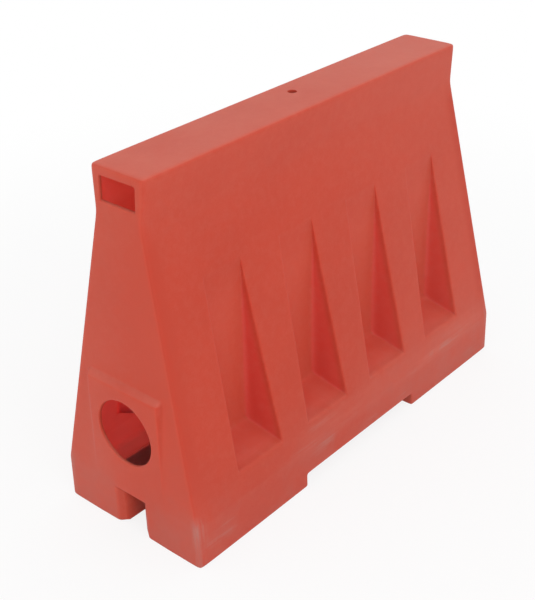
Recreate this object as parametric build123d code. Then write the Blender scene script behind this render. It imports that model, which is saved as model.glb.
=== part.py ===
from build123d import *
import os
from math import cos, radians, tan

# Road barrier: a hollow one-piece plastic moulding that stands on two feet, with a screwed drain plug.
# Millimetres. X runs along the barrier, Z is up, and the origin is under its middle, on the ground.

# Body
LENGTH = 1000.0
TOP_LENGTH = 924.0
HEIGHT = 737.0
BASE_WIDTH = 356.0
PLINTH_WIDTH = 352.0
PLINTH_HEIGHT = 95.0
NECK_WIDTH = 116.0
BEAM_HEIGHT = 87.0
TOP_WIDTH = 130.0
WALL = 6.0
CORNER_RADIUS = 10.0
TOP_EDGE_RADIUS = 9.0
GROUND_EDGE_RADIUS = 4.0
PLINTH_CREASE_RADIUS = 20.0
NECK_CREASE_RADIUS = 25.0
END_CREASE_RADIUS = 150.0

# Wedge-shaped recesses along both long sides
RECESS_COUNT = 4
RECESS_PITCH = 206.0
RECESS_BELOW_NECK = 124.0
RECESS_ABOVE_PLINTH = 47.0
RECESS_TOP_WIDTH = 97.0
RECESS_BOTTOM_WIDTH = 125.0
RECESS_SIDE_DRAFT = 8.0
RECESS_FLOOR_SLOPE = 19.0
RECESS_INNER_RADIUS = 10.0

# Upright pad and round hole in each leaning end
PAD_WIDTH = 182.0
PAD_TOP = 323.0
PAD_SIDE_DRAFT = 25.0
PAD_TOP_SLOPE = 35.0
END_HOLE_RADIUS = 68.0
END_HOLE_HEIGHT = 228.0

# Flat slot through both ends of the top beam
SLOT_WIDTH = 85.0
SLOT_HEIGHT = 45.0
SLOT_BELOW_TOP = 41.0
SLOT_CORNER_RADIUS = 3.0

# Small hole in the top, set off the middle
LAMP_HOLE_RADIUS = 9.5
LAMP_HOLE_X = 15.0
LAMP_HOLE_Y = 17.5

# Channel along the underside, and the gap between the two feet
CHANNEL_WIDTH = 50.0
CHANNEL_HEIGHT = 83.0
CHANNEL_MOUTH_WIDTH = 86.0
CHANNEL_MOUTH_DEPTH = 12.0
FOOT_GAP_LENGTH = 367.0
FOOT_GAP_HEIGHT = 30.0

# Arched drain recess in the hidden long side
DRAIN_FROM_END = 150.0
DRAIN_RECESS_WIDTH = 84.0
DRAIN_RECESS_DEPTH = 27.0
DRAIN_HEIGHT = 42.0

# Threaded bush moulded into the wall of the drain recess
BUSH_RADIUS = 20.0
BUSH_LENGTH = 16.0
BUSH_FLANGE_RADIUS = 26.0
BUSH_FLANGE_THICKNESS = 3.0
BUSH_CLEARANCE = 0.05
THREAD_RADIUS = 15.0
THREAD_CLEARANCE = 0.06

# Drain plug and its washer
WASHER_RADIUS = 23.0
WASHER_THICKNESS = 3.0
WASHER_CLEARANCE = 0.3
PLUG_SHANK_LENGTH = 19.0
PLUG_SHANK_CHAMFER = 1.5
PLUG_FLANGE_RADIUS = 24.0
PLUG_FLANGE_THICKNESS = 5.0
PLUG_GRIP_ACROSS_FLATS = 30.0
PLUG_GRIP_LENGTH = 11.0
PLUG_EDGE = 1.2

# How far a cutting shape runs past the face it cuts
PAST = 20.0

# Heights that follow from the sizes above
NECK_HEIGHT = HEIGHT - BEAM_HEIGHT
RECESS_TOP = NECK_HEIGHT - RECESS_BELOW_NECK
RECESS_BOTTOM = PLINTH_HEIGHT + RECESS_ABOVE_PLINTH
SLOT_MIDDLE = HEIGHT - SLOT_BELOW_TOP


def half_length(z):
    """Half the length at a height: upright up to the plinth's top, then leaning in to the top face."""
    if z <= PLINTH_HEIGHT:
        return LENGTH / 2
    rise = (z - PLINTH_HEIGHT) / (HEIGHT - PLINTH_HEIGHT)
    return (LENGTH + (TOP_LENGTH - LENGTH) * rise) / 2


def half_width(z):
    """Half the width at a height, along the plinth, the sloping side and the flared top beam."""
    levels = [
        (0.0, BASE_WIDTH),
        (PLINTH_HEIGHT, PLINTH_WIDTH),
        (NECK_HEIGHT, NECK_WIDTH),
        (HEIGHT, TOP_WIDTH),
    ]
    for (low, wide), (high, next_wide) in zip(levels, levels[1:]):
        if z <= high:
            return (wide + (next_wide - wide) * (z - low) / (high - low)) / 2
    return TOP_WIDTH / 2


def both_sides(points):
    """A closed outline from its half at the right, mirrored about the upright middle line."""
    return Polygon(*points, *[(-x, y) for x, y in reversed(points)], align=None)


def body(inset=0.0):
    """The barrier's form without its recesses, drawn in by inset on every face."""
    bottom, top = inset, HEIGHT - inset
    section = both_sides([(half_width(z) - inset, z) for z in (bottom, PLINTH_HEIGHT, NECK_HEIGHT, top)])
    elevation = both_sides([(half_length(z) - inset, z) for z in (bottom, PLINTH_HEIGHT, top)])
    if inset == 0.0:
        section = soften(section, PLINTH_HEIGHT, PLINTH_CREASE_RADIUS)
        section = soften(section, NECK_HEIGHT, NECK_CREASE_RADIUS)
        elevation = soften(elevation, PLINTH_HEIGHT, END_CREASE_RADIUS)
    along = extrude(Plane.YZ * section, LENGTH / 2 + PAST, both=True)
    across = extrude(Plane.XZ * elevation, BASE_WIDTH / 2 + PAST, both=True)
    return along & across


def soften(outline, height, radius):
    """The outline with its corners at one height rounded."""
    corners = [v for v in outline.vertices() if abs(v.Y - height) < 1e-3]
    return fillet(corners, radius)


def end_pad(inset=0.0):
    """The upright pad that stands out of the leaning end at -X, with tapered sides and top."""
    root = half_length(PLINTH_HEIGHT) - half_length(PAD_TOP) + PAST
    face_x = inset - LENGTH / 2
    root_x = face_x + root
    half = PAD_WIDTH / 2 - inset
    top = PAD_TOP - inset
    root_half = half + root * tan(radians(PAD_SIDE_DRAFT))
    root_top = top + root * tan(radians(PAD_TOP_SLOPE))
    plan = [(face_x, -half), (root_x, -root_half), (root_x, root_half), (face_x, half)]
    side = [(face_x, PLINTH_HEIGHT), (root_x, PLINTH_HEIGHT), (root_x, root_top), (face_x, top)]
    upright = extrude(Polygon(*plan, align=None), HEIGHT)
    return upright & extrude(Plane.XZ * Polygon(*side, align=None), BASE_WIDTH, both=True)


def recess(grow=0.0):
    """One wedge cut from the -Y side, at X = 0: an upright back, drafted sides and a sloping floor."""
    back = half_width(RECESS_TOP)
    lip = half_width(RECESS_BOTTOM)
    out = BASE_WIDTH / 2 + PAST
    floor_rise = (lip - back) * tan(radians(RECESS_FLOOR_SLOPE))
    narrowing = (lip - back) * tan(radians(RECESS_SIDE_DRAFT))
    drop = (out - back + grow) * tan(radians(RECESS_FLOOR_SLOPE))
    back_y = grow - back
    back_floor = RECESS_BOTTOM + floor_rise - grow
    profile = [(-out, back_floor - drop), (back_y, back_floor), (back_y, NECK_HEIGHT), (-out, NECK_HEIGHT)]
    half = extrude(Plane.YZ * Polygon(*profile, align=None), RECESS_BOTTOM_WIDTH)
    lip_foot = Vector(RECESS_BOTTOM_WIDTH / 2, -lip, RECESS_BOTTOM)
    lip_head = Vector(RECESS_TOP_WIDTH / 2, -back, RECESS_TOP)
    back_foot = Vector(RECESS_BOTTOM_WIDTH / 2 - narrowing, -back, RECESS_BOTTOM + floor_rise)
    side = Plane(lip_foot, z_dir=(back_foot - lip_foot).cross(lip_head - lip_foot)).offset(grow)
    half = split(half, bisect_by=side, keep=Keep.BOTTOM)
    wedge = half + mirror(half, about=Plane.YZ)
    if grow == 0.0:
        inside = [e for e in wedge.edges() if e.center().Y > 1 - out and e.center().Z < NECK_HEIGHT - 1]
        wedge = fillet(inside, RECESS_INNER_RADIUS)
    return wedge


def recesses(grow=0.0):
    """All the wedges, evenly spaced along one side and mirrored to the other."""
    wedge = recess(grow)
    row = []
    for i in range(RECESS_COUNT):
        place = Pos((i - (RECESS_COUNT - 1) / 2) * RECESS_PITCH, 0, 0)
        row += [place * wedge, place * mirror(wedge, about=Plane.XZ)]
    return row


def channel(grow=0.0):
    """The channel along the underside, flared at both mouths."""
    half = CHANNEL_WIDTH / 2 + grow
    mouth = CHANNEL_MOUTH_WIDTH / 2 + grow
    end = LENGTH / 2
    neck = end - CHANNEL_MOUTH_DEPTH
    right = [(neck, half), (end, mouth), (end + PAST, mouth)]
    side = [(-x, y) for x, y in reversed(right)] + right
    outline = [(x, -y) for x, y in side] + side[::-1]
    height = CHANNEL_HEIGHT + grow + PAST
    return Pos(0, 0, -PAST) * extrude(Polygon(*outline, align=None), height)


def foot_gap(grow=0.0):
    """The low gap between the two feet, open to both sides."""
    height = FOOT_GAP_HEIGHT + grow + PAST
    gap = Box(FOOT_GAP_LENGTH + 2 * grow, BASE_WIDTH + 2 * PAST, height)
    return Pos(0, 0, height / 2 - PAST) * gap


def drain_axis(out):
    """A place on the drain's axis, its +Z pointing out of the barrier, so far out of the recess's wall."""
    x = LENGTH / 2 - DRAIN_FROM_END
    wall_y = half_width(DRAIN_HEIGHT) - DRAIN_RECESS_DEPTH
    return Location(Plane((x, wall_y + out, DRAIN_HEIGHT), x_dir=(1, 0, 0), z_dir=(0, 1, 0)))


def drain_recess(grow=0.0):
    """The arched recess in the +Y side that holds the drain plug, open to the ground."""
    radius = DRAIN_RECESS_WIDTH / 2 + grow
    leg = DRAIN_HEIGHT + PAST
    arch = Circle(radius) + Pos(0, leg / 2) * Rectangle(2 * radius, leg)
    return drain_axis(-grow) * extrude(arch, DRAIN_RECESS_DEPTH + grow + PAST)


def along_x(outline, height):
    """A sketch on the YZ plane, at a height, carried right through the barrier."""
    return extrude(Plane.YZ * Pos(0, height) * outline, LENGTH / 2 + PAST, both=True)


def barrier_shell():
    """The hollow moulding: the outer form, less an inner one that follows it a wall's thickness inside."""
    pad, pad_space = end_pad(), end_pad(WALL)
    outer = body()
    outer = fillet([e for e in outer.edges() if abs(e.tangent_at(0.5).Z) > 0.5], CORNER_RADIUS)
    outer = fillet(outer.faces().sort_by(Axis.Z)[-1].edges(), TOP_EDGE_RADIUS)
    outer += [pad, mirror(pad, about=Plane.YZ)]
    outer -= [channel(), foot_gap(), drain_recess()]
    outer = fillet(outer.faces().group_by(Axis.Z)[0].edges(), GROUND_EDGE_RADIUS)
    outer -= recesses()
    inner = body(WALL)
    inner += [pad_space, mirror(pad_space, about=Plane.YZ)]
    inner -= recesses(WALL) + [channel(WALL), foot_gap(WALL), drain_recess(WALL)]
    shell = outer - inner
    shell -= along_x(Circle(END_HOLE_RADIUS), END_HOLE_HEIGHT)
    shell -= along_x(RectangleRounded(SLOT_WIDTH, SLOT_HEIGHT, SLOT_CORNER_RADIUS), SLOT_MIDDLE)
    shell -= Pos(LAMP_HOLE_X, LAMP_HOLE_Y, HEIGHT) * Cylinder(LAMP_HOLE_RADIUS, 2 * (WALL + PAST))
    shell -= drain_axis(0.0) * Cylinder(BUSH_RADIUS + BUSH_CLEARANCE, 2 * (WALL + PAST))
    return shell


def ring(outside, inside, length):
    """A plain ring that stands on the plane Z = 0."""
    return extrude(Circle(outside) - Circle(inside), length)


def drain_bush():
    """The flanged bush: flush with the recess's wall outside, its flange against the wall inside."""
    barrel = drain_axis(-BUSH_LENGTH) * ring(BUSH_RADIUS, THREAD_RADIUS, BUSH_LENGTH)
    flange_at = drain_axis(-WALL - BUSH_FLANGE_THICKNESS)
    return barrel + flange_at * ring(BUSH_FLANGE_RADIUS, THREAD_RADIUS, BUSH_FLANGE_THICKNESS)


def drain_washer():
    """The flat washer that the plug presses on the recess's wall."""
    inside = THREAD_RADIUS - THREAD_CLEARANCE + WASHER_CLEARANCE
    return drain_axis(0.0) * ring(WASHER_RADIUS, inside, WASHER_THICKNESS)


def drain_plug():
    """The plug: a shank in the bush's thread, a round flange on the washer and a hexagon to grip."""
    shank = extrude(Circle(THREAD_RADIUS - THREAD_CLEARANCE), -PLUG_SHANK_LENGTH)
    shank = chamfer(shank.edges().sort_by(Axis.Z)[0], PLUG_SHANK_CHAMFER)
    flange = extrude(Circle(PLUG_FLANGE_RADIUS), PLUG_FLANGE_THICKNESS)
    flange = chamfer(flange.edges().sort_by(Axis.Z)[-1], PLUG_EDGE)
    grip_radius = PLUG_GRIP_ACROSS_FLATS / 2 / cos(radians(30))
    grip = extrude(RegularPolygon(grip_radius, 6), PLUG_FLANGE_THICKNESS + PLUG_GRIP_LENGTH)
    grip = chamfer(grip.faces().sort_by(Axis.Z)[-1].edges(), PLUG_EDGE)
    return drain_axis(WASHER_THICKNESS) * (shank + flange + grip)


PIECES = {
    "barrier_shell": barrier_shell,
    "drain_bush": drain_bush,
    "drain_washer": drain_washer,
    "drain_plug": drain_plug,
}

os.makedirs("parts", exist_ok=True)
for name, make in PIECES.items():
    export_step(make(), f"parts/{name}.step")
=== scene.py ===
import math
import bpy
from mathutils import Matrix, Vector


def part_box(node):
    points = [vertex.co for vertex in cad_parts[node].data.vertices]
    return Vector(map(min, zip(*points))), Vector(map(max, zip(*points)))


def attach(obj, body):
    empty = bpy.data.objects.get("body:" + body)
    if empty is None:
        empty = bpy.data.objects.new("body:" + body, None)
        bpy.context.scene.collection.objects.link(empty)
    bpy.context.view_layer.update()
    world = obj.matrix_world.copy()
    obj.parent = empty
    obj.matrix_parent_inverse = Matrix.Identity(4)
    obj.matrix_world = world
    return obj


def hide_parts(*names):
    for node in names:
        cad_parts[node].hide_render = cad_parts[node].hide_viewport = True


bl_info = {
    "name": "Road Barrier",
    "version": (1, 0, 0),
    "blender": (4, 5, 0),
    "location": "3D View > Sidebar > Road Barrier",
    "description": "Builds a hollow moulded road barrier, its drain plug and the stage it stands on",
    "category": "Object",
}

import bmesh
import bpy
from bpy.props import FloatProperty, FloatVectorProperty, IntProperty, PointerProperty
from bpy.types import Operator, Panel, PropertyGroup
from mathutils import Matrix, Vector

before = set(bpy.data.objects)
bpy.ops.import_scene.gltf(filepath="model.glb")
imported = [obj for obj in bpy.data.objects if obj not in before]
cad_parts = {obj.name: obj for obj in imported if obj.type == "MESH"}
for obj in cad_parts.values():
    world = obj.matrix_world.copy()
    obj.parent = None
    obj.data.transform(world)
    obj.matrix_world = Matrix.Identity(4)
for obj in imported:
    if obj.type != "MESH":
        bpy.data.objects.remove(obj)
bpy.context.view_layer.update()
SHELL_LOW, SHELL_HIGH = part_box("barrier_shell")
PLUG_LOW, PLUG_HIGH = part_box("drain_plug")
WASHER_LOW, WASHER_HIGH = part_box("drain_washer")
DRAIN_MIDDLE = (WASHER_LOW + WASHER_HIGH) / 2

# A grid line counts as reached within this distance
NEAR = 1e-5

# Grid lines are rounded to this many digits, and a cut joins what lies within this distance
LINE_DIGITS, CUT_NEAR = 5, 1e-6

# A lip or a clearance that is too small to see
TINY = 0.0001

# A face looks one way if its normal goes that way by more than this
FACING = 0.5

# Reach of the cutters past the whole barrier, below the ground and out of a wall
PAST_BARRIER, PAST_GROUND, PAST_WALL = 1.0, 0.1, 0.03

# Rise and spread of a quarter rounding of radius 1, from just off its edge to square across it
QUARTER_TURN = [(math.sin(turn), 1.0 - math.cos(turn)) for turn in map(math.radians, (22.5, 45.0, 67.5, 90.0))]

# Half width between the sloping sides if they ran to the ground, and its loss in a metre of height
SIDE_FOOT, SIDE_LEAN = 0.1962, 0.2126

# Half length between the leaning ends if they ran to the ground, and its loss in a metre of height
END_FOOT, END_LEAN = 0.5056, 0.0592


def size(name, description, default):
    """A length in metres that the sidebar shows in scene units."""
    return FloatProperty(name=name, description=description, default=default, unit="LENGTH", precision=4)


def colour(name, description, default):
    """A colour that the sidebar shows as a swatch."""
    return FloatVectorProperty(name=name, description=description, default=default, subtype="COLOR", min=0.0, max=1.0)


def fraction(name, description, default):
    """A number from 0 to 1."""
    return FloatProperty(name=name, description=description, default=default, min=0.0, max=1.0)


def angle(name, description, degrees):
    """An angle that the sidebar shows in degrees."""
    return FloatProperty(name=name, description=description, default=math.radians(degrees), subtype="ANGLE")


class BarrierBody(PropertyGroup):
    length: size("Length", "Length at the plinth", SHELL_HIGH.x - SHELL_LOW.x)
    top_length: size("Top length", "Length of the top face, between the leaning ends", 0.924)
    height: size("Height", "Height of the top face above the ground", SHELL_HIGH.z)
    base_width: size("Base width", "Width at the ground", 0.356)
    plinth_width: size("Plinth width", "Width at the plinth's top", 0.352)
    plinth_height: size("Plinth height", "Height of the plinth's top", 0.095)
    neck_width: size("Neck width", "Width under the top beam", 0.116)
    neck_height: size("Neck height", "Height of the crease under the top beam", 0.650)
    top_width: size("Top width", "Width of the top face", 0.130)
    wall: size("Wall", "Thickness of the moulded wall", 0.006)
    corner_soft: size("Corner softness", "Reach of the rounding between ends and sides", 0.015)
    top_soft: size("Top edge softness", "Reach of the rounding round the top face", 0.012)
    ground_soft: size("Ground edge softness", "Reach of the rounding round the feet", 0.006)


class BarrierRecess(PropertyGroup):
    count: IntProperty(name="Count", description="Recesses along each long side", default=4, min=1, max=6)
    pitch: size("Pitch", "Distance between recesses", 0.206)
    top: size("Top", "Height at which a recess runs out", 0.526)
    bottom: size("Bottom", "Height of a recess's lower lip", 0.142)
    top_width: size("Top width", "Width of a recess where it runs out", 0.097)
    bottom_width: size("Bottom width", "Width of a recess at its lower lip", 0.125)
    back_width: size("Back width", "Width of the upright back at its foot", 0.102)
    back_foot: size("Back foot", "Height of the foot of the upright back", 0.170)
    lip_soft: size("Lip softness", "Reach of the rounding along a recess's lip", 0.007)
    lip_corner: size("Lip corner", "Reach of the rounding at the corners of a recess's lip", 0.006)
    back_soft: size("Back softness", "Reach of the rounding along a recess's back", 0.022)
    back_corner: size("Back corner", "Reach of the rounding at the corners of a recess's back", 0.010)


class BarrierEnds(PropertyGroup):
    pad_width: size("Pad width", "Width of the upright pad", 0.182)
    pad_top: size("Pad top", "Height of the upright pad's top edge", 0.323)
    pad_side: size("Pad side", "Width of the pad's tapered side", 0.005)
    pad_ramp: size("Pad ramp", "Height of the ramp over the pad", 0.010)
    pad_edge: size("Pad edge", "Reach of the rounding along the pad's edge", 0.005)
    hole_radius: size("Hole radius", "Radius of the round hole", 0.068)
    hole_height: size("Hole height", "Height of the round hole's middle", 0.228)
    slot_width: size("Slot width", "Width of the board slot", 0.085)
    slot_height: size("Slot height", "Height of the board slot", 0.045)
    slot_middle: size("Slot middle", "Height of the board slot's middle", 0.696)
    slot_corner: size("Slot corner", "Corner radius of the board slot", 0.003)
    rim_soft: size("Rim softness", "Radius of the rim round the holes and slots in the ends", 0.0035)
    lamp_radius: size("Lamp hole radius", "Radius of the small hole in the top", 0.0095)
    lamp_x: size("Lamp hole X", "Place of the small hole along the top", 0.015)
    lamp_y: size("Lamp hole Y", "Place of the small hole across the top", 0.0175)


class BarrierFeet(PropertyGroup):
    channel_width: size("Channel width", "Width of the channel under the barrier", 0.050)
    channel_height: size("Channel height", "Height of the channel under the barrier", 0.083)
    mouth_width: size("Mouth width", "Width of the channel's flared mouth", 0.086)
    mouth_depth: size("Mouth depth", "Depth of the flare at the channel's mouth", 0.012)
    mouth_crease: fraction("Mouth crease", "Crispness of the mouth's upright edges", 1.0)
    gap_length: size("Gap length", "Length of the gap between the feet", 0.367)
    gap_height: size("Gap height", "Height of the gap between the feet", 0.030)
    edge_soft: size("Edge softness", "Reach of the rounding along the gap and the channel", 0.008)
    drain_width: size("Drain recess width", "Width of the arched drain recess", 0.084)
    drain_lip: size("Drain recess lip", "Radius of the drain recess's lip", 0.004)
    bush_radius: size("Bush hole radius", "Radius of the hole for the drain bush", 0.02005)


class DrainPlug(PropertyGroup):
    thread_radius: size("Thread radius", "Outer radius of the plug's thread", 0.01494)
    thread_depth: size("Thread depth", "Depth of the plug's thread", 0.0016)
    thread_pitch: size("Thread pitch", "Pitch of the plug's thread", 0.004)
    thread_turns: IntProperty(name="Thread turns", description="Turns of the plug's thread", default=4, min=1, max=8)
    flange_radius: size("Flange radius", "Radius of the plug's flange", 0.024)
    flange_thickness: size("Flange thickness", "Thickness of the plug's flange", 0.005)
    grip_flats: size("Grip across flats", "Width of the hexagon across its flats", 0.030)
    edge: size("Edge", "Rounding of the plug's edges", 0.0012)


class BarrierFinish(PropertyGroup):
    red: colour("Red", "Moulded red of the plastic", (0.545, 0.058, 0.029))
    # Deeper red: random clouds in the plastic, and painted shade on the rounding of the upright corners
    red_deep: colour("Deep red", "Darker red in clouds and along the upright corners", (0.515, 0.054, 0.027))
    # Deeper, more saturated red: painted shade on the recesses' walls and deeper in their floors, and on the upper
    # inside of the moulding
    shaded_red: colour("Fresh red", "Unfaded red on the recesses' walls", (0.650, 0.062, 0.044))
    # Bright inner red, raised above the outer red as painted light that stands for light coming through the wall
    inside: colour("Inside", "Cleaner red of the moulding's inner face", (0.950, 0.135, 0.145))
    # Darker red low down inside the moulding
    low_inner_red: colour("Grime", "Grimed red low down inside the moulding", (0.520, 0.140, 0.150))
    # Pale red of the inner floor, made bright as painted light that stands for light reaching it through the walls
    inner_floor: colour("Silt", "Silt on the moulding's inner floor", (0.950, 0.300, 0.280))
    # Paler red: painted light on the end faces, and painted light that lifts the recesses' backs out of their shade
    lit_pale: colour("Faded red", "Sun-faded red of the ends", (0.800, 0.140, 0.090))
    # Pale pink, partly chalky mottle and partly painted sheen: upward faces, ledges, the plinth's crease and the far
    # end are made paler with it
    chalk_and_sheen: colour("Chalk", "Chalky bloom on upward faces", (0.660, 0.192, 0.142))
    dust: colour("Dust", "Road dust low on the barrier", (0.420, 0.150, 0.120))
    scuff: colour("Scuff", "Greyed plastic where the barrier was dragged", (0.430, 0.230, 0.200))
    black: colour("Plug black", "Plastic of the drain plug", (0.022, 0.022, 0.024))
    black_worn: colour("Worn black", "Greyed plastic where the drain plug is worn", (0.09, 0.088, 0.085))
    rubber: colour("Rubber", "Rubber of the drain washer", (0.030, 0.029, 0.028))
    bloom: colour("Bloom", "Dusty bloom on the drain washer", (0.11, 0.105, 0.1))
    brass: colour("Brass", "Brass of the drain bush", (0.610, 0.400, 0.160))
    tarnish: colour("Tarnish", "Tarnish on the drain bush", (0.22, 0.13, 0.06))
    floor: colour("Floor", "Pale studio floor", (0.900, 0.900, 0.900))
    floor_cloud: colour("Floor cloud", "Faint cloud in the floor", (0.86, 0.86, 0.86))
    floor_lift: fraction("Floor lift", "Share of plain white that the camera sees in the floor", 0.84)


class BarrierStage(PropertyGroup):
    azimuth: angle("Azimuth", "Camera's turn round the barrier", -48.65)
    elevation: angle("Elevation", "Camera's height angle", 29.45)
    roll: angle("Roll", "Camera's roll", -1.46)
    distance: size("Distance", "Camera's distance from its target", 2.31536)
    target_x: size("Target X", "Camera target along the barrier", -0.09216)
    target_z: size("Target Z", "Camera target above the ground", 0.33011)
    lens: FloatProperty(name="Lens", description="Camera's focal length", default=68.55, unit="CAMERA")
    sensor: FloatProperty(name="Sensor", description="Width of the camera's sensor", default=36.0, unit="CAMERA")
    floor_reach: size("Floor reach", "Distance from the floor's middle to its sides", 12.0)
    sky: FloatProperty(name="Sky", description="Strength of the even light all round", default=0.84, min=0.0)
    key: FloatProperty(name="Key", description="Power of the soft key light", default=35.0, min=0.0, unit="POWER")
    key_size: size("Key size", "Width of the key light", 3.0)
    key_place: FloatVectorProperty(
        name="Key place", description="Place of the key light", default=(-1.6, -2.7, 2.5), subtype="TRANSLATION"
    )


def between(steps, at):
    """The value at a place along steps of (place, value), straight between them and flat beyond."""
    if at <= steps[0][0]:
        return steps[0][1]
    for (low, start), (high, stop) in zip(steps, steps[1:]):
        if at <= high:
            return start + (stop - start) * (at - low) / (high - low)
    return steps[-1][1]


def half_length(body, z):
    return between([(body.plinth_height, body.length / 2), (body.height, body.top_length / 2)], z)


def half_width(body, z):
    levels = [
        (0.0, body.base_width / 2),
        (body.plinth_height, body.plinth_width / 2),
        (body.neck_height, body.neck_width / 2),
        (body.height, body.top_width / 2),
    ]
    return between(levels, z)


def recess_middles(recess):
    return [(i - (recess.count - 1) / 2) * recess.pitch for i in range(recess.count)]


def recess_half(recess, z):
    """Half the width of a recess on the barrier's side at a height."""
    return between([(recess.bottom, recess.bottom_width / 2), (recess.top, recess.top_width / 2)], z)


def made_object(name, bm):
    """A new object from a bmesh, which is freed."""
    mesh = bpy.data.meshes.new(name)
    bm.to_mesh(mesh)
    bm.free()
    made = bpy.data.objects.new(name, mesh)
    bpy.context.scene.collection.objects.link(made)
    return made


def settle(made):
    """Puts what the object's modifiers make into its own mesh."""
    graph = bpy.context.evaluated_depsgraph_get()
    mesh = bpy.data.meshes.new_from_object(made.evaluated_get(graph))
    made.modifiers.clear()
    made.data, old = mesh, made.data
    bpy.data.meshes.remove(old)


def discard(made):
    mesh = made.data
    bpy.data.objects.remove(made)
    bpy.data.meshes.remove(mesh)


def subdivide(made, levels):
    smooth = made.modifiers.new("Moulded softness", "SUBSURF")
    smooth.levels = smooth.render_levels = levels
    settle(made)


def combine(made, other, operation):
    """Joins the other object's solid to this one or cuts it out, and removes the other object."""
    tool = made.modifiers.new("Combine", "BOOLEAN")
    tool.operation = operation
    tool.solver = "EXACT"
    tool.object = other
    settle(made)
    discard(other)


def cut(made, cutter):
    combine(made, cutter, "DIFFERENCE")


def box_object(name, low, high):
    low, high = Vector(low), Vector(high)
    bm = bmesh.new()
    place = Matrix.Translation((low + high) / 2) @ Matrix.Diagonal((*(high - low), 1.0))
    bmesh.ops.create_cube(bm, size=1.0, matrix=place)
    return made_object(name, bm)


def add_round(bm, start, end, radius, segments):
    """A closed cylinder between two points."""
    start, end = Vector(start), Vector(end)
    turn = (end - start).to_track_quat("Z", "Y").to_matrix().to_4x4()
    place = Matrix.Translation((start + end) / 2) @ turn
    bmesh.ops.create_cone(
        bm, cap_ends=True, segments=segments, radius1=radius, radius2=radius, depth=(end - start).length, matrix=place
    )


def draw_lines(bm, axis, places):
    """Cuts the whole grid along planes across one axis."""
    normal = Vector((0.0, 0.0, 0.0))
    normal[axis] = 1.0
    for place in sorted({round(place, LINE_DIGITS) for place in places}):
        geom = bm.verts[:] + bm.edges[:] + bm.faces[:]
        bmesh.ops.bisect_plane(bm, geom=geom, dist=CUT_NEAR, plane_co=normal * place, plane_no=normal)


def drawn_out(bm, ring):
    """Extrudes a ring of edges, and gives the new ring's edges and its points."""
    moved = bmesh.ops.extrude_edge_only(bm, edges=ring)["geom"]
    return [[part for part in moved if isinstance(part, kind)] for kind in (bmesh.types.BMEdge, bmesh.types.BMVert)]


def turn_round(bm, turn):
    """Turns everything about the upright axis."""
    bmesh.ops.rotate(bm, verts=bm.verts[:], cent=(0, 0, 0), matrix=Matrix.Rotation(turn, 3, "Z"))


def shade_smooth(made, sharp_deg):
    """Shades an object smooth, but for the edges that bend by more than an angle."""
    made.data.polygons.foreach_set("use_smooth", [True] * len(made.data.polygons))
    made.data.set_sharp_from_angle(angle=math.radians(sharp_deg))


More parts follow.
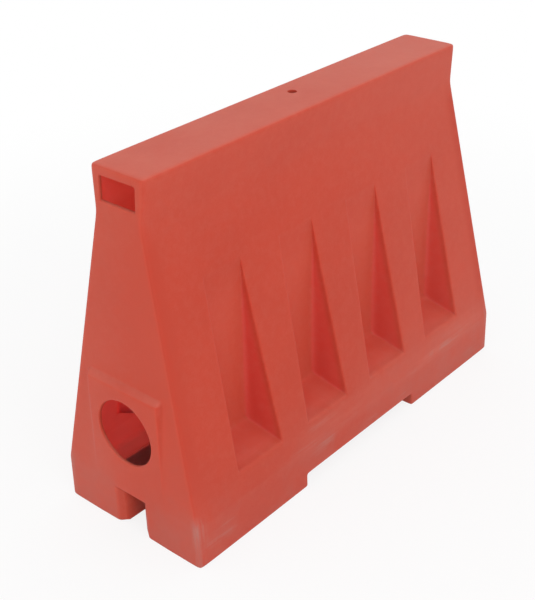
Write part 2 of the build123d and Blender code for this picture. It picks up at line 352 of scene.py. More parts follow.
class Moulding:
    """One skin of the barrier: a straight grid of faces that is then moved into the barrier's form."""

    # Reach of a recess's patch of the grid below its lip and above its top
    PATCH_BELOW, PATCH_ABOVE = 0.022, 0.020

    # Rows of the grid over the pad's ramp, and below and above the crease under the beam
    OVER_RAMP, BELOW_CREASE, ABOVE_CREASE = 0.006, 0.018, 0.016

    # A line beside an edge of the top or the underside lies this much further in near a corner
    CORNER_SHARE = 1.2

    # Least distance between the pad's foot and the line beside an upright corner
    HIP_GAP = 0.004

    # Share of the channel's flare by height
    FLARE_STEPS = ((0.10, 1.0), (0.16, 0.0))

    # Columns of a recess's corners, counted from its middle, and the last of its rows, counted from 0 at its lip
    COLUMNS, LAST_ROW = (-2, -1, 1, 2), 5

    # Shares of a recess's height for its middle rows, and the furthest that the next row lies below its top
    ROW_SHARES, TOP_ROW = (0.36, 0.68), 0.01

    # A ring round a recess's mouth grows this much further down than sideways
    LIP_DROP = 1.4

    # Distance of the back's top below the recess's top, and the share of a ring's shrinking that adds to it
    BACK_DROP, BACK_SHRINK = 0.010, 0.4

    # Reach of a lip's rounding into its wall, by its softness, at the lower lip's inner corners and elsewhere
    FOOT_REACH, LIP_REACH = 1.4, 0.95

    # Shares of a wall's depth that the rings by its lip and by its back don't pass
    LIP_SHARE, BACK_SHARE = 0.33, 0.67

    # Inset that makes a new ring, before its corners are placed
    RING_INSET = 0.0005

    # Distance within which an edge is on a mouth, the bend in radians that is creased, and the outer edges' share
    MOUTH_NEAR, MOUTH_BEND, OUTER_CREASE = 0.004, 0.3, 0.6

    # Faces round each cutter
    ARCH_FACES, SLOT_FACES, HOLE_FACES, LAMP_FACES, BUSH_FACES = 64, 32, 128, 48, 64

    # Height of the drain cutter's foot, and reaches of the lamp hole's cutter and, in and out, of the bush's
    ARCH_FOOT, LAMP_REACH, BUSH_IN, BUSH_OUT = -0.05, 0.02, 0.02, 0.01

    def __init__(self, scene, inset=0.0):
        body, recess, ends, feet = scene.barrier_body, scene.barrier_recess, scene.barrier_ends, scene.barrier_feet
        self.body, self.recess, self.ends, self.feet = body, recess, ends, feet
        self.inset = inset
        self.end_x = body.length / 2 - inset
        self.side_y = body.base_width / 2 - inset
        self.floor_z = inset
        self.top_z = body.height - inset
        self.by_end_x = self.end_x - feet.mouth_depth
        self.by_side_y = self.side_y - body.corner_soft
        self.channel_y = feet.channel_width / 2 + inset
        self.channel_z = feet.channel_height + inset
        self.gap_x = feet.gap_length / 2 + inset
        self.gap_z = feet.gap_height + inset
        self.pad_y = ends.pad_width / 2 - inset
        self.pad_z = ends.pad_top - inset
        self.pad_foot_y = self.pad_y + ends.pad_side
        self.ramp_z = self.pad_z + ends.pad_ramp
        self.cell_x = self.gap_x - feet.edge_soft - recess.pitch / 2
        self.cell_low = recess.bottom - inset - self.PATCH_BELOW
        self.cell_high = recess.top + self.PATCH_ABOVE
        self.rows_x = max(recess_middles(recess)) + self.cell_x
        self.pad_rows = (self.pad_z - ends.pad_edge, self.pad_z, self.ramp_z, self.ramp_z + self.OVER_RAMP)

    def along(self, z):
        return half_length(self.body, z) - self.inset

    def across(self, z):
        return half_width(self.body, z) - self.inset

    def straight_grid(self):
        """The barrier's block with its channel and foot gap, cut by every line that its form needs."""
        body, ends, feet = self.body, self.ends, self.feet
        low = (-self.end_x, -self.side_y, self.floor_z)
        block = box_object("moulding_block", low, (self.end_x, self.side_y, self.top_z))
        low = (-PAST_BARRIER, -self.channel_y, -PAST_GROUND)
        cut(block, box_object("channel_cutter", low, (PAST_BARRIER, self.channel_y, self.channel_z)))
        low = (-self.gap_x, -PAST_BARRIER, -PAST_GROUND)
        cut(block, box_object("gap_cutter", low, (self.gap_x, PAST_BARRIER, self.gap_z)))
        bm = bmesh.new()
        bm.from_mesh(block.data)
        discard(block)
        soft = feet.edge_soft
        x_lines = [self.gap_x - soft, self.gap_x, self.gap_x + soft, self.by_end_x]
        for middle in recess_middles(self.recess):
            x_lines += [abs(middle - self.cell_x), abs(middle + self.cell_x)]
        y_lines = [self.channel_y - soft, self.channel_y, self.channel_y + soft]
        y_lines += [self.pad_y - ends.pad_edge, self.pad_y, self.pad_foot_y, self.by_side_y]
        z_lines = [self.floor_z + body.ground_soft, self.gap_z - soft, self.gap_z, self.gap_z + soft]
        z_lines += [self.channel_z - soft, self.channel_z, self.channel_z + soft]
        z_lines += [body.plinth_height, body.plinth_height + soft, self.cell_low, self.cell_high]
        z_lines += self.pad_rows
        neck = body.neck_height
        z_lines += [neck - self.BELOW_CREASE, neck, neck + self.ABOVE_CREASE]
        z_lines += [self.top_z - body.top_soft]
        draw_lines(bm, 0, x_lines + [-x for x in x_lines])
        draw_lines(bm, 1, y_lines + [-y for y in y_lines])
        draw_lines(bm, 2, z_lines)
        return bm

    def cap_inset(self, at_edge, at_corner, soft):
        """How far the line beside an edge of the top or the underside lies from that edge."""
        if at_edge:
            return self.body.corner_soft
        return soft * self.CORNER_SHARE if at_corner else soft

    def place(self, point):
        """Moves one point of the straight grid to its place on the barrier."""
        body, feet = self.body, self.feet
        x, y, z = abs(point.x), abs(point.y), point.z
        at_end, by_end = x > self.end_x - NEAR, x > self.by_end_x - NEAR
        at_side, by_side = y > self.side_y - NEAR, y > self.by_side_y - NEAR
        on_top, underneath = z > self.top_z - NEAR, z < self.gap_z + NEAR
        at_channel = y < self.channel_y + feet.edge_soft + NEAR
        if at_side and x < self.rows_x + NEAR:
            for row, level in enumerate(self.pad_rows, 1):
                if abs(point.z - level) < NEAR:
                    z = self.recess_lip((0.0, 1, 2, row), self.recess.lip_soft, self.recess.lip_corner).z
        new_x = x
        if at_end:
            on_pad = y < self.pad_y + NEAR and z < self.pad_z + NEAR
            new_x = self.end_x if on_pad else self.along(z)
        elif by_end:
            inset = body.corner_soft
            if at_channel and z < self.channel_z + NEAR:
                inset = feet.mouth_depth
            elif on_top:
                inset = self.cap_inset(at_side, by_side, body.top_soft)
            elif z < self.floor_z + NEAR:
                inset = self.cap_inset(at_side, by_side, body.ground_soft)
            new_x = self.along(z) - inset
        across = self.across(z)
        hip = across - body.corner_soft
        if at_side:
            new_y = across
        elif by_side:
            new_y = hip
            if on_top:
                new_y = across - self.cap_inset(at_end, by_end, body.top_soft)
            elif underneath and not at_end:
                new_y = across - self.cap_inset(at_end, by_end, body.ground_soft)
        else:
            new_y = y * min(1.0, (hip - self.HIP_GAP) / self.pad_foot_y)
            if at_end and at_channel:
                flare = (feet.mouth_width - feet.channel_width) / 2
                new_y += flare * between(self.FLARE_STEPS, z)
        return Vector((math.copysign(new_x, point.x), math.copysign(new_y, point.y), z))

    def recess_row(self, low, high, row, corner):
        """The height of one row of a recess's corners, with a row close to each end."""
        lower, upper = (low + (high - low) * share for share in self.ROW_SHARES)
        return (low, low + corner, lower, upper, high - min(corner, self.TOP_ROW), high)[row]

    def recess_lip(self, spot, grow, corner):
        """A corner of a recess's mouth on the sloping side, or of a ring grown round it."""
        middle, side, column, row = spot
        low = self.recess.bottom - self.inset - grow * self.LIP_DROP
        z = self.recess_row(low, self.recess.top + grow, row, corner)
        half = recess_half(self.recess, z) + self.inset + grow
        x = math.copysign(half if abs(column) == 2 else half - corner, column)
        return Vector((middle + x, side * self.across(z), z))

    def recess_back(self, spot, shrink, corner):
        """A corner of a recess's upright back, or of a ring drawn in on it."""
        recess = self.recess
        middle, side, column, row = spot
        low = recess.back_foot - self.inset + shrink
        z = self.recess_row(low, recess.top - self.BACK_DROP - shrink * self.BACK_SHRINK, row, corner)
        half = between([(recess.back_foot, recess.back_width), (recess.top, recess.top_width)], z) / 2
        half += self.inset - shrink
        x = math.copysign(half if abs(column) == 2 else half - corner, column)
        return Vector((middle + x, side * self.across(recess.top), z))

    def recess_wall(self, spot, step):
        """A corner of one of the two rings that round a recess's wall at its lip and at its back."""
        recess = self.recess
        lip = self.recess_lip(spot, 0.0, recess.lip_corner)
        back = self.recess_back(spot, 0.0, recess.back_corner)
        depth = (back - lip).length
        at_foot = spot[3] == 0 and abs(spot[2]) == 1
        near_lip = recess.lip_soft * (self.FOOT_REACH if at_foot else self.LIP_REACH)
        by_lip = min(self.LIP_SHARE, near_lip / depth)
        by_back = max(self.BACK_SHARE, 1.0 - recess.back_soft / depth)
        return lip.lerp(back, (by_lip, by_back)[step])

    def recess_spots(self, face, middle, side):
        """Which corner of a recess each corner of its patch becomes: a column across and a row up."""
        upward = sorted(face.verts, key=lambda v: v.co.z)
        wide = len(self.COLUMNS)
        if len(upward) != 2 * (wide + self.LAST_ROW - 1):
            raise RuntimeError("a recess's patch of the side has the wrong number of corners")
        spots = {}
        for row, verts in ((0, upward[:wide]), (self.LAST_ROW, upward[-wide:])):
            for column, vert in zip(self.COLUMNS, sorted(verts, key=lambda v: v.co.x)):
                spots[vert] = (middle, side, column, row)
        for column in (self.COLUMNS[0], self.COLUMNS[-1]):
            edge = [v for v in upward[wide:-wide] if (v.co.x - middle) * column > 0]
            for row, vert in enumerate(edge, 1):
                spots[vert] = (middle, side, column, row)
        return spots

    def sink_recess(self, bm, middle, side):
        """Draws one recess into a long side, ring by ring from its lip to its back."""
        recess = self.recess
        patch = []
        for face in bm.faces:
            at = face.calc_center_median()
            in_cell = self.cell_low < at.z < self.cell_high and abs(at.x - middle) < self.cell_x
            if in_cell and face.normal.y * side > FACING:
                patch.append(face)
        face = bmesh.ops.dissolve_faces(bm, faces=patch)["region"][0]
        for end in (max, min):
            level = end(face.edges, key=lambda e: e.verts[0].co.z + e.verts[1].co.z)
            bmesh.ops.subdivide_edges(bm, edges=[level], cuts=2)
        spots = self.recess_spots(face, middle, side)
        for vert, spot in spots.items():
            if abs(spot[2]) == 1:
                vert.co.x = self.recess_lip(spot, recess.lip_soft, recess.lip_corner).x
        rings = [
            lambda spot: self.recess_lip(spot, recess.lip_soft, recess.lip_corner),
            lambda spot: self.recess_lip(spot, 0.0, recess.lip_corner),
            lambda spot: self.recess_wall(spot, 0),
            lambda spot: self.recess_wall(spot, 1),
            lambda spot: self.recess_back(spot, 0.0, recess.back_corner),
            lambda spot: self.recess_back(spot, recess.back_soft, recess.back_corner),
        ]
        for place in rings:
            bmesh.ops.inset_region(bm, faces=[face], thickness=self.RING_INSET)
            for vert in face.verts:
                vert.co = place(spots[vert])

    def skin(self):
        """The finished cage of this skin."""
        bm = self.straight_grid()
        for vert in bm.verts:
            vert.co = self.place(vert.co)
        bm.normal_update()
        for middle in recess_middles(self.recess):
            for side in (-1, 1):
                self.sink_recess(bm, middle, side)
        self.crease_mouths(bm)
        bmesh.ops.recalc_face_normals(bm, faces=bm.faces[:])
        return bm

    def crease_mouths(self, bm):
        """Keeps the upright edges of the channel's flared mouths crisp."""
        feet = self.feet
        crease = bm.edges.layers.float.new("crease_edge")
        for edge in bm.edges:
            inner = all(abs(abs(v.co.x) - self.by_end_x) < self.MOUTH_NEAR for v in edge.verts)
            outer = all(abs(abs(v.co.x) - self.end_x) < self.MOUTH_NEAR for v in edge.verts)
            inside = all(abs(v.co.y) < feet.mouth_width / 2 + NEAR for v in edge.verts)
            low = all(v.co.z < self.channel_z + NEAR for v in edge.verts)
            upright = abs(edge.verts[0].co.y - edge.verts[1].co.y) < NEAR
            if inside and low and upright and (inner or outer) and len(edge.link_faces) == 2:
                if edge.calc_face_angle(0.0) > self.MOUTH_BEND:
                    edge[crease] = feet.mouth_crease * (1.0 if inner else self.OUTER_CREASE)

    def drain_cutter(self, grow, lip):
        """The arched drain recess as a solid, with a mouth that flares by the lip's radius."""
        middle, back = DRAIN_MIDDLE, WASHER_LOW.y - grow
        face = half_width(self.body, middle.z)
        radius = self.feet.drain_width / 2 + grow
        bm = bmesh.new()
        turn = Matrix.Translation((middle.x, back, middle.z)) @ Matrix.Rotation(math.pi / 2, 4, "X")
        bmesh.ops.create_circle(bm, segments=self.ARCH_FACES, radius=radius, matrix=turn)
        geom = bm.verts[:] + bm.edges[:]
        bmesh.ops.bisect_plane(
            bm, geom=geom, dist=CUT_NEAR, plane_co=(0, 0, middle.z), plane_no=(0, 0, 1), clear_inner=True
        )
        ends = [v for v in bm.verts if len(v.link_edges) == 1]
        feet_ends = bmesh.ops.extrude_vert_indiv(bm, verts=ends)["verts"]
        for vert in feet_ends:
            vert.co.z = self.ARCH_FOOT
        bmesh.ops.contextual_create(bm, geom=feet_ends)
        loop = bm.edges[:]
        bmesh.ops.edgeloop_fill(bm, edges=loop)
        stages = [(face - lip, 0.0)]
        stages += [(face - lip + lip * rise, lip * spread) for rise, spread in QUARTER_TURN]
        stages.append((face + PAST_WALL, lip))
        grown = 0.0
        for y, wider in stages:
            loop, points = drawn_out(bm, loop)
            ratio = (radius + wider) / (radius + grown)
            grown = wider
            for vert in points:
                vert.co.x = middle.x + (vert.co.x - middle.x) * ratio
                vert.co.z = middle.z + (vert.co.z - middle.z) * ratio if vert.co.z > 0 else vert.co.z
                vert.co.y = y
        bmesh.ops.edgeloop_fill(bm, edges=loop)
        bmesh.ops.recalc_face_normals(bm, faces=bm.faces[:])
        return made_object("drain_cutter", bm)

    def add_way(self, bm, height, core, radius, segments):
        """A way through both ends as a solid, round or with round corners, that opens by a soft rim."""
        rim = self.ends.rim_soft
        turn = Matrix.Rotation(math.pi / 2, 4, "Y") @ Matrix.Rotation(math.pi / segments, 4, "Z")
        place = Matrix.Translation((0.0, 0.0, height)) @ turn
        loop = bmesh.ops.create_circle(bm, segments=segments, radius=radius, matrix=place)["verts"]
        for vert in loop:
            vert.co.y += math.copysign(core[0], vert.co.y)
            vert.co.z += math.copysign(core[1], vert.co.z - height)
        first = list({edge for vert in loop for edge in vert.link_edges})
        stages = [(-rim, 0.0)]
        stages += [(rim * (rise - 1.0) + TINY, rim * spread) for rise, spread in QUARTER_TURN]
        stages.append((PAST_WALL, rim))
        for side in (-1, 1):
            ring = first
            for reach, wider in stages:
                ring, points = drawn_out(bm, ring)
                for vert in points:
                    y, z = vert.co.y, vert.co.z - height
                    near = Vector((max(-core[0], min(core[0], y)), max(-core[1], min(core[1], z))))
                    out = (Vector((y, z)) - near).normalized() * (radius + wider)
                    up = height + near.y + out.y
                    end = self.end_x if up < self.pad_z else self.along(up)
                    vert.co = (side * (end + reach), near.x + out.x, up)
            bmesh.ops.edgeloop_fill(bm, edges=ring)
        bmesh.ops.recalc_face_normals(bm, faces=bm.faces[:])

    def hole_cutter(self):
        """The round holes, the board slot, the small top hole and the bush's hole as solids."""
        ends, top, wall = self.ends, self.body.height, WASHER_LOW.y
        bm = bmesh.new()
        corner = ends.slot_corner
        core = (ends.slot_width / 2 - corner, ends.slot_height / 2 - corner)
        self.add_way(bm, ends.slot_middle, core, corner, self.SLOT_FACES)
        self.add_way(bm, ends.hole_height, (0.0, 0.0), ends.hole_radius, self.HOLE_FACES)
        lamp_low = (ends.lamp_x, ends.lamp_y, top - self.LAMP_REACH)
        lamp_high = (ends.lamp_x, ends.lamp_y, top + self.LAMP_REACH)
        add_round(bm, lamp_low, lamp_high, ends.lamp_radius, self.LAMP_FACES)
        bush_low = (DRAIN_MIDDLE.x, wall - self.BUSH_IN, DRAIN_MIDDLE.z)
        bush_high = (DRAIN_MIDDLE.x, wall + self.BUSH_OUT, DRAIN_MIDDLE.z)
        add_round(bm, bush_low, bush_high, self.feet.bush_radius, self.BUSH_FACES)
        return made_object("hole_cutter", bm)

    def hollow_body(self, finishes):
        """The whole hollow moulding as one object, with its outer and its inner finish."""
        outer = made_object("barrier_moulding", self.skin())
        hollow = made_object("barrier_hollow", Moulding(bpy.context.scene, self.body.wall).skin())
        holes = self.hole_cutter()
        for made in (outer, hollow, holes):
            for finish in finishes:
                made.data.materials.append(finish)
        subdivide(outer, levels=2)
        subdivide(hollow, levels=1)
        cut(outer, self.drain_cutter(0.0, self.feet.drain_lip))
        cut(hollow, self.drain_cutter(self.body.wall, TINY))
        hollow.data.polygons.foreach_set("material_index", [1] * len(hollow.data.polygons))
        cut(outer, hollow)
        cut(outer, holes)
        return outer


class Signal:
    """A socket in a material's node tree, with plain arithmetic and one way to add any other node."""

    def __init__(self, tree, socket=None):
        self.tree = tree
        self.socket = socket

    def math(self, operation, first, second):
        return self.node("ShaderNodeMath", {"operation": operation}, {0: first, 1: second})

    def __add__(self, other):
        return self.math("ADD", self, other)

    __radd__ = __add__

    def __sub__(self, other):
        return self.math("SUBTRACT", self, other)

    def __rsub__(self, other):
        return self.math("SUBTRACT", other, self)

    def __mul__(self, other):
        return self.math("MULTIPLY", self, other)

    __rmul__ = __mul__

    def node(self, kind, settings=None, sockets=None, out=0):
        """Adds a node: its settings first, then the values or links of its sockets, and gives one output."""
        made = self.tree.nodes.new(kind)
        for name, value in (settings or {}).items():
            setattr(made, name, value)
        for key, value in (sockets or {}).items():
            socket = made.inputs[key]
            if isinstance(value, Signal):
                self.tree.links.new(value.socket, socket)
            else:
                socket.default_value = value
        return Signal(self.tree, made.outputs[out] if made.outputs else None)

    def noise(self, where, scale, detail=3.0, roughness=0.5):
        return self.node(
            "ShaderNodeTexNoise", None, {"Vector": where, "Scale": scale, "Detail": detail, "Roughness": roughness}
        )

    def ramp(self, low, high):
        """This value as a smooth mask that goes from 0 at low to 1 at high."""
        settings = {"interpolation_type": "SMOOTHSTEP"}
        return self.node("ShaderNodeMapRange", settings, {"Value": self, "From Min": low, "From Max": high})

    def fall(self, low, high):
        """This value as a smooth mask that goes from 1 at low to 0 at high."""
        return 1 - self.ramp(low, high)

    def band(self, low, full, fading, high):
        """This value as a smooth mask that is 1 from full to fading, and 0 below low and above high."""
        return self.ramp(low, full) * self.fall(fading, high)

    def swing(self, share):
        """A share of how far this value is from its middle of a half."""
        return (self - 0.5) * share

    def bump(self, strength, distance):
        """This value as a relief, for a shader's normal."""
        return self.node("ShaderNodeBump", None, {"Strength": strength, "Distance": distance, "Height": self})

    def stretched(self, x, y, z):
        return self.node("ShaderNodeMapping", None, {"Vector": self, "Scale": (x, y, z)})

    def apart(self):
        """The three parts of this vector."""
        made = self.node("ShaderNodeSeparateXYZ", None, {0: self}).socket.node
        return [Signal(self.tree, part) for part in made.outputs]

    def outward(self):
        """The three parts of the direction in which the surface looks."""
        return self.node("ShaderNodeTexCoord", out="Normal").apart()

    def shown(self):
        """1 for what the camera sees, in mirrors and through glass too, and 0 for light that falls on things."""
        path = self.node("ShaderNodeLightPath").socket.node
        rays = [Signal(self.tree, path.outputs[f"Is {kind} Ray"]) for kind in ("Camera", "Glossy", "Transmission")]
        return rays[0].math("MAXIMUM", rays[0], rays[1].math("MAXIMUM", rays[1], rays[2]))

    def magnitude(self):
        return self.math("ABSOLUTE", self, 0.0)

    def mixed(self, share, first, second):
        """Two colours mixed by a share, each of them a signal or a plain colour."""
        first, second = (shade if isinstance(shade, Signal) else opaque(shade) for shade in (first, second))
        return self.node("ShaderNodeMix", {"data_type": "RGBA"}, {0: share, 6: first, 7: second}, 2)


def opaque(shade):
    return (shade[0], shade[1], shade[2], 1.0)


def new_finish(name):
    """An empty material, a way to add nodes to it, and its object coordinates."""
    material = bpy.data.materials.new(name)
    material.use_nodes = True
    tree = material.node_tree
    tree.nodes.clear()
    start = Signal(tree)
    return material, start, start.node("ShaderNodeTexCoord", out="Object")


def close_finish(start, sockets, constants):
    """Ends a material in one Principled shader."""
    shader = start.node("ShaderNodeBsdfPrincipled", None, {**constants, **sockets})
    start.node("ShaderNodeOutputMaterial", None, {"Surface": shader})


def moulded_red(finish):
    """Matte moulded polyethylene: clouded and chalky-mottled red, dusty and scuffed low down, with painted sheen
    where it faces the sky, painted light on the ends, and painted shade in the recesses and along the upright
    corners.
    """
    material, start, where = new_finish("moulded_red")
    x, y, z = where.apart()
    outward = start.outward()
    along, across, endward, upward = x.magnitude(), y.magnitude(), outward[0].magnitude(), outward[2]
    cloud = start.noise(where, 4.0, 4.0, 0.55)
    mottle = start.noise(where, 60.0, 4.0, 0.6)
    grain = start.noise(where, 700.0, 2.0, 0.5)
    speck = start.noise(where, 330.0, 2.0, 0.6)
    patches = start.noise(where, 9.0, 4.0, 0.6)
    drags = start.noise(where.stretched(3.0, 45.0, 45.0), 1.0, 6.0, 0.65)
    falls = start.noise(where.stretched(60.0, 60.0, 5.0), 1.0, 5.0, 0.6)
    shade = start.mixed(cloud.ramp(0.3, 0.7), finish.red_deep, finish.red)
    depth = SIDE_FOOT - z * SIDE_LEAN - across
    recessed = depth.ramp(0.002, 0.020) * along.fall(0.40, 0.43) * z.band(0.12, 0.15, 0.53, 0.56)
    # Recess walls that face the ends, and recess floors the deeper they lie, get the deeper red as painted shade
    walled = endward.ramp(0.12, 0.72)
    shade = start.mixed(recessed * (walled + upward.ramp(0.4, 0.8) * 0.4), shade, finish.shaded_red)
    # End faces and recess backs are made paler as painted light
    endmost = along.ramp(0.44, 0.46)
    ended = endward.ramp(0.72, 0.95) * endmost
    shade = start.mixed(recessed * (1 - walled) * 0.16 + ended * 0.22, shade, finish.lit_pale)
    # Paler towards the far end, towards the top and to one side of each end as painted sheen and painted light, with
    # chalky mottle and specks that are the plastic's own
    bleach_and_sheen = x.ramp(-0.15, 0.5) * 0.12 + z.ramp(0.50, 0.73) * 0.09 + mottle.ramp(0.3, 0.8) * 0.10
    bleach_and_sheen = bleach_and_sheen + speck.swing(0.14) + ended * y.ramp(-0.11, 0.11).swing(0.2)
    # Upward faces of the beam are made paler as a painted sheen of the sky
    skyward = upward.ramp(0.5, 0.95) * z.ramp(0.55, 0.70) * (0.3 + patches.swing(0.4))
    # Upward ledges low down and on the ends are made paler as painted sheen, with drag streaks along the plinth's
    # side; deep in a recess the paling is held back as painted shade
    ledges = 0.10 + patches.swing(0.4) + endmost * 0.22
    ledges = ledges + drags.ramp(0.54, 0.70) * across.ramp(0.135, 0.165) * 0.45
    ledges = ledges * upward.ramp(0.25, 0.75) * z.fall(0.50, 0.60)
    ledges = ledges * (1 - recessed * depth.ramp(0.005, 0.055) * 0.8)
    shade = start.mixed(bleach_and_sheen + skyward + ledges, shade, finish.chalk_and_sheen)
    # Painted shade on the rounding of the upright corners, from the plinth up to the beam
    corner_shade = (END_FOOT - z * END_LEAN - along).fall(0.010, 0.042) * endward.fall(0.86, 0.985)
    corner_shade = corner_shade * depth.fall(0.014, 0.026) * z.band(0.11, 0.18, 0.60, 0.66)
    shade = start.mixed(corner_shade * 0.85, shade, finish.red_deep)
    # Paler streaks along the plinth's crease on the far half: painted sheen, broken up by drag streaks
    crease = z.band(0.065, 0.10, 0.11, 0.15) * across.ramp(0.13, 0.16) * along.fall(0.46, 0.485)
    crease = crease * x.ramp(-0.35, 0.05) * (0.12 + drags.ramp(0.40, 0.70) * 0.24)
    shade = start.mixed(crease, shade, finish.chalk_and_sheen)
    dusty = z.fall(0.0, 0.26) * (0.12 + patches.ramp(0.35, 0.7) * 0.25) * (0.3 + across.ramp(0.030, 0.050) * 0.7)
    shade = start.mixed(dusty, shade, finish.dust)
    corner = along.ramp(0.470, 0.497) * across.ramp(0.150, 0.176) * z.fall(0.085, 0.125)
    rubbed = z.band(0.005, 0.03, 0.10, 0.15) * drags.ramp(0.52, 0.68) * patches.ramp(0.45, 0.6)
    rubbed = rubbed * endward.fall(0.3, 0.6)
    worn = corner * falls.ramp(0.40, 0.58) * (0.4 + z.ramp(0.04, 0.08) * 0.5) + rubbed * 0.5
    shade = start.mixed(worn * 0.7, shade, finish.scuff)
    rough = 0.58 + mottle.swing(0.14) + worn * 0.12
    bump = (mottle * 0.5 + grain * 0.14 + cloud * 1.6).bump(0.25, 0.002)
    close_finish(
        start,
        {"Base Color": shade, "Roughness": rough, "Normal": bump},
        {
            "Subsurface Weight": 0.35,
            "Subsurface Radius": (1.0, 0.30, 0.20),
            "Subsurface Scale": 0.02,
            "Specular IOR Level": 0.22,
        },
    )
    return material


def moulded_inside(finish):
    """The moulding's inner face: flowed red brightened as painted light, darker low down, its upper part held darker
    as painted shade, and a pale floor brightened as painted light.
    """
    material, start, where = new_finish("moulded_inside")
    z = where.apart()[2]
    # Darker towards the bottom inside
    low_down_inside = z.fall(0.036, 0.060)
    # Inner faces that look up, the floor, get the pale red as painted light
    floor_facing = start.outward()[2].ramp(0.5, 0.8)
    flow = start.noise(where, 14.0, 3.0, 0.5)
    pores = start.noise(where, 240.0, 3.0, 0.6)
    # The bright inner red is painted light; flowed clouds, and as painted shade the upper inside, are pulled to the
    # deeper red
    flow_and_upper_shade = flow.ramp(0.3, 0.7) * 0.2 + z.ramp(0.50, 0.65) * 0.7
    shade = start.mixed(flow_and_upper_shade, finish.inside, finish.shaded_red)
    shade = start.mixed(low_down_inside, shade, finish.low_inner_red)
    shade = start.mixed(floor_facing * (1 - pores.ramp(0.35, 0.7) * 0.10), shade, finish.inner_floor)
    bump = (flow * 1.5 + pores * 0.2).bump(0.3, 0.002)
    close_finish(
        start,
        {"Base Color": shade, "Roughness": 0.42 + pores * 0.16 + floor_facing * 0.3, "Normal": bump},
        {
            "Subsurface Weight": 0.9,
            "Subsurface Radius": (1.0, 0.40, 0.36),
            "Subsurface Scale": 0.06,
            "Specular IOR Level": 0.3,
        },
    )
    return material


def plug_black(finish):
    """Satin black moulded plastic with faint wear."""
    material, start, where = new_finish("plug_black")
    wear = start.noise(where, 260.0, 5.0, 0.6)
    grain = start.noise(where, 2500.0, 2.0, 0.5)
    shade = start.mixed(wear.ramp(0.55, 0.75) * 0.5, finish.black, finish.black_worn)
    bump = (grain + wear).bump(0.3, 0.0003)
    close_finish(start, {"Base Color": shade, "Roughness": 0.38 + wear * 0.2, "Normal": bump}, {})
    return material


def washer_rubber(finish):
    """Dull rubber with a dusty bloom."""
    material, start, where = new_finish("washer_rubber")
    bloom = start.noise(where, 420.0, 5.0, 0.65)
    shade = start.mixed(bloom.ramp(0.5, 0.8) * 0.4, finish.rubber, finish.bloom)
    bump = bloom.bump(0.4, 0.0002)
    close_finish(start, {"Base Color": shade, "Roughness": 0.75 + bloom * 0.15, "Normal": bump}, {})
    return material


def bush_brass(finish):
    """Turned brass with fine tool marks and a little tarnish."""
    material, start, where = new_finish("bush_brass")
    marks = start.noise(where.stretched(30.0, 2600.0, 30.0), 1.0, 3.0, 0.5)
    tarnish = start.noise(where, 150.0, 4.0, 0.6)
    shade = start.mixed(tarnish.ramp(0.45, 0.75) * 0.6, finish.brass, finish.tarnish)
    bump = marks.bump(0.25, 0.0002)
    close_finish(
        start,
        {"Base Color": shade, "Roughness": 0.28 + tarnish * 0.25, "Normal": bump},
        {"Metallic": 1.0},
    )
    return material


def dress(made, material):
    made.data.materials.clear()
    made.data.materials.append(material)


class BARRIER_OT_moulding(Operator):
    """Build the hollow red moulding"""

    bl_idname = "barrier.moulding"
    bl_label = "Moulding"

    # Edges that bend by more than this many degrees stay sharp
    SHARP_DEG = 58

    def execute(self, context):
        finish = context.scene.barrier_finish
        made = Moulding(context.scene).hollow_body((moulded_red(finish), moulded_inside(finish)))
        shade_smooth(made, self.SHARP_DEG)
        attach(made, "barrier")
        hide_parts("barrier_shell")
        return {"FINISHED"}


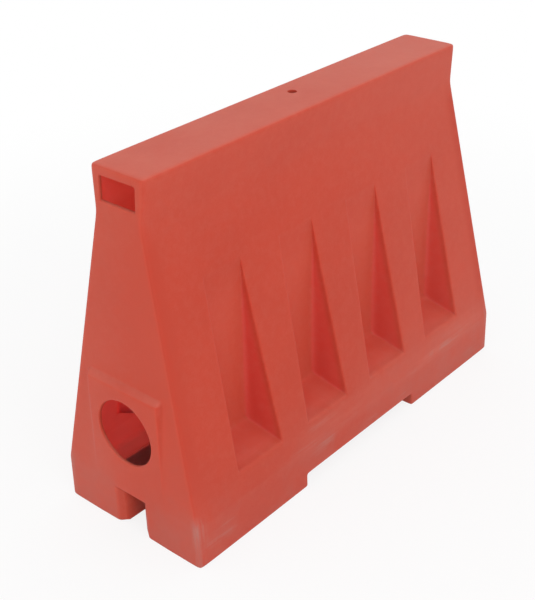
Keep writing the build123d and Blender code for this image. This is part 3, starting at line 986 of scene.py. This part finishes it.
class BARRIER_OT_drain(Operator):
    """Build the threaded drain plug, and finish its washer and bush"""

    bl_idname = "barrier.drain"
    bl_label = "Drain plug"

    # Edges that bend by more than this many degrees stay sharp
    SHARP_DEG = 35

    # Faces round the shank, and steps in each turn of its thread
    STEPS = 48

    # Faces round the flange, and steps in each rounding
    FLANGE_FACES, EDGE_STEPS = 72, 3

    # Width of the grip's rim, width of the slope inside it, and depth of its hollow
    GRIP_RIM, GRIP_SLOPE, GRIP_HOLLOW = 0.003, 0.001, 0.003

    # Edges of the grip that bend by more than this many radians are rounded
    GRIP_BEND = 0.4

    # Distance of the thread's foot inside the shank, and the section's heights as shares of the pitch
    THREAD_SINK, THREAD_RISES = 0.0004, (0.1, 0.42, 0.58, 0.9)

    def execute(self, context):
        plug, finish = context.scene.barrier_plug, context.scene.barrier_finish
        made = self.whole_plug(plug)
        shade_smooth(made, self.SHARP_DEG)
        dress(made, plug_black(finish))
        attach(made, "plug")
        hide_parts("drain_plug")
        dress(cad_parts["drain_washer"], washer_rubber(finish))
        dress(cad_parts["drain_bush"], bush_brass(finish))
        return {"FINISHED"}

    def whole_plug(self, plug):
        """The plug as one solid on its own axis, from the washer outwards, then set in the drain recess."""
        flange = plug.flange_thickness
        root = plug.thread_radius - plug.thread_depth
        tip = WASHER_HIGH.y - PLUG_LOW.y
        bm = bmesh.new()
        add_round(bm, (0, 0, 0), (0, 0, flange), plug.flange_radius, self.FLANGE_FACES)
        self.round_edges(bm, plug, [e for e in bm.edges if all(v.co.z > flange - NEAR for v in e.verts)])
        made = made_object("threaded_plug", bm)
        bm = bmesh.new()
        add_round(bm, (0, 0, -tip), (0, 0, flange / 4), root, self.STEPS)
        self.round_edges(bm, plug, [e for e in bm.edges if all(v.co.z < NEAR - tip for v in e.verts)])
        turn_round(bm, math.pi / self.STEPS)
        combine(made, made_object("shank", bm), "UNION")
        combine(made, made_object("grip", self.grip(plug)), "UNION")
        combine(made, made_object("thread", self.thread(plug, root, tip)), "UNION")
        place = Vector(((PLUG_LOW.x + PLUG_HIGH.x) / 2, WASHER_HIGH.y, (PLUG_LOW.z + PLUG_HIGH.z) / 2))
        made.data.transform(Matrix.Translation(place) @ Matrix.Rotation(-math.pi / 2, 4, "X"))
        return made

    def round_edges(self, bm, plug, edges):
        steps = self.EDGE_STEPS
        bmesh.ops.bevel(bm, geom=edges, offset=plug.edge, segments=steps, profile=0.5, affect="EDGES", material=-1)

    def grip(self, plug):
        """The hexagon, with a shallow hollow in its top."""
        flange = plug.flange_thickness
        tall = PLUG_HIGH.y - WASHER_HIGH.y
        bm = bmesh.new()
        add_round(bm, (0, 0, flange / 2), (0, 0, tall), plug.grip_flats / 2 / math.cos(math.pi / 6), 6)
        turn_round(bm, math.pi / 6)
        draw_lines(bm, 2, [flange * 1.5])
        bm.normal_update()
        top = [f for f in bm.faces if f.normal.z > FACING]
        for width in (self.GRIP_RIM, self.GRIP_SLOPE):
            bmesh.ops.inset_region(bm, faces=top, thickness=width, use_even_offset=True)
        bmesh.ops.translate(bm, verts=top[0].verts[:], vec=(0, 0, -self.GRIP_HOLLOW))
        bm.normal_update()
        bent = [e for e in bm.edges if e.calc_face_angle(0.0) > self.GRIP_BEND]
        self.round_edges(bm, plug, [e for e in bent if max(v.co.z for v in e.verts) > flange])
        return bm

    def thread(self, plug, root, tip):
        """One ridge wound round the shank."""
        pitch, turns = plug.thread_pitch, plug.thread_turns
        foot, crest = root - self.THREAD_SINK, plug.thread_radius
        bm = bmesh.new()
        ring = bmesh.ops.create_circle(bm, segments=4, radius=pitch / 2)["verts"]
        for vert, reach, rise in zip(ring, (foot, crest, crest, foot), self.THREAD_RISES):
            vert.co = (reach, 0.0, pitch * rise - tip + plug.edge)
        bmesh.ops.spin(
            bm,
            geom=bm.verts[:] + bm.edges[:],
            cent=(0, 0, 0),
            axis=(0, 0, 1),
            dvec=(0, 0, pitch / self.STEPS),
            angle=math.tau * turns,
            steps=self.STEPS * turns,
        )
        bmesh.ops.edgeloop_fill(bm, edges=[e for e in bm.edges if e.is_boundary])
        bmesh.ops.recalc_face_normals(bm, faces=bm.faces[:])
        return bm


class BARRIER_OT_stage(Operator):
    """Set the floor, the light and the camera"""

    bl_idname = "barrier.stage"
    bl_label = "Stage"

    # Distances from the barrier's middle between which the floor goes over to plain white
    FADE_NEAR, FADE_FAR = 0.9, 2.2

    def execute(self, context):
        stage, finish = context.scene.barrier_stage, context.scene.barrier_finish
        self.set_floor(stage, finish)
        self.set_light(context.scene, stage)
        self.set_camera(context.scene, stage)
        context.scene.view_settings.view_transform = "Standard"
        return {"FINISHED"}

    def set_floor(self, stage, finish):
        bm = bmesh.new()
        bmesh.ops.create_grid(bm, x_segments=4, y_segments=4, size=stage.floor_reach)
        floor = made_object("studio_floor", bm)
        material, start, where = new_finish("studio_floor")
        grain = start.noise(where, 3.0, 2.0, 0.5)
        shade = start.mixed(grain * 0.03, finish.floor, finish.floor_cloud)
        constants = {"Base Color": shade, "Roughness": 0.9, "Specular IOR Level": 0.1}
        matt = start.node("ShaderNodeBsdfPrincipled", None, constants)
        white = start.node("ShaderNodeEmission", None, {"Color": (1.0, 1.0, 1.0, 1.0), "Strength": 1.0})
        away = start.node("ShaderNodeVectorMath", {"operation": "LENGTH"}, {0: where}, "Value")
        away = away.ramp(self.FADE_NEAR, self.FADE_FAR)
        lifted = start.shown() * (finish.floor_lift + away * (1.0 - finish.floor_lift))
        surface = start.node("ShaderNodeMixShader", None, {0: lifted, 1: matt, 2: white})
        start.node("ShaderNodeOutputMaterial", None, {"Surface": surface})
        dress(floor, material)

    def set_light(self, scene, stage):
        world = bpy.data.worlds.new("studio_sky")
        world.use_nodes = True
        tree = world.node_tree
        tree.nodes.clear()
        start = Signal(tree)
        strength = start.shown() * (1.0 - stage.sky) + stage.sky
        sky = start.node("ShaderNodeBackground", None, {"Color": (1.0, 1.0, 1.0, 1.0), "Strength": strength})
        start.node("ShaderNodeOutputWorld", None, {"Surface": sky})
        scene.world = world
        lamp = bpy.data.lights.new("soft_key", "AREA")
        lamp.shape = "DISK"
        lamp.size = stage.key_size
        lamp.energy = stage.key
        key = bpy.data.objects.new("soft_key", lamp)
        scene.collection.objects.link(key)
        away = Vector(stage.key_place)
        key.matrix_world = Matrix.Translation(away) @ away.to_track_quat("Z", "Y").to_matrix().to_4x4()

    def set_camera(self, scene, stage):
        azimuth, elevation = stage.azimuth, stage.elevation
        back = Vector(
            (
                math.sin(azimuth) * math.cos(elevation),
                -math.cos(azimuth) * math.cos(elevation),
                math.sin(elevation),
            )
        )
        right = Vector((math.cos(azimuth), math.sin(azimuth), 0.0))
        turn = Matrix((right, back.cross(right), back)).transposed()
        turn = turn @ Matrix.Rotation(stage.roll, 3, "Z")
        lens = bpy.data.cameras.new("photo_view")
        lens.lens = stage.lens
        lens.sensor_width = stage.sensor
        camera = bpy.data.objects.new("photo_view", lens)
        scene.collection.objects.link(camera)
        place = Vector((stage.target_x, 0.0, stage.target_z)) + back * stage.distance
        camera.matrix_world = Matrix.Translation(place) @ turn.to_4x4()
        scene.camera = camera


class BARRIER_PT_sidebar(Panel):
    """The barrier's pieces and sizes"""

    bl_label = "Road Barrier"
    bl_idname = "BARRIER_PT_sidebar"
    bl_space_type = "VIEW_3D"
    bl_region_type = "UI"
    bl_category = "Road Barrier"

    def draw(self, context):
        layout = self.layout
        for operator in (BARRIER_OT_moulding, BARRIER_OT_drain, BARRIER_OT_stage):
            layout.operator(operator.bl_idname)
        for name in GROUPS:
            group = getattr(context.scene, name)
            box = layout.box()
            box.label(text=name.replace("_", " ").capitalize())
            for prop in group.bl_rna.properties:
                if prop.identifier not in {"rna_type", "name"}:
                    box.prop(group, prop.identifier)


GROUPS = {
    "barrier_body": BarrierBody,
    "barrier_recess": BarrierRecess,
    "barrier_ends": BarrierEnds,
    "barrier_feet": BarrierFeet,
    "barrier_plug": DrainPlug,
    "barrier_finish": BarrierFinish,
    "barrier_stage": BarrierStage,
}

CLASSES = (
    *GROUPS.values(),
    BARRIER_OT_moulding,
    BARRIER_OT_drain,
    BARRIER_OT_stage,
    BARRIER_PT_sidebar,
)


def register():
    for cls in CLASSES:
        bpy.utils.register_class(cls)
    for name, group in GROUPS.items():
        setattr(bpy.types.Scene, name, PointerProperty(type=group))


def unregister():
    for name in GROUPS:
        delattr(bpy.types.Scene, name)
    for cls in reversed(CLASSES):
        bpy.utils.unregister_class(cls)


def main():
    register()
    bpy.ops.barrier.moulding()
    bpy.ops.barrier.drain()
    bpy.ops.barrier.stage()


if __name__ == "__main__":
    main()
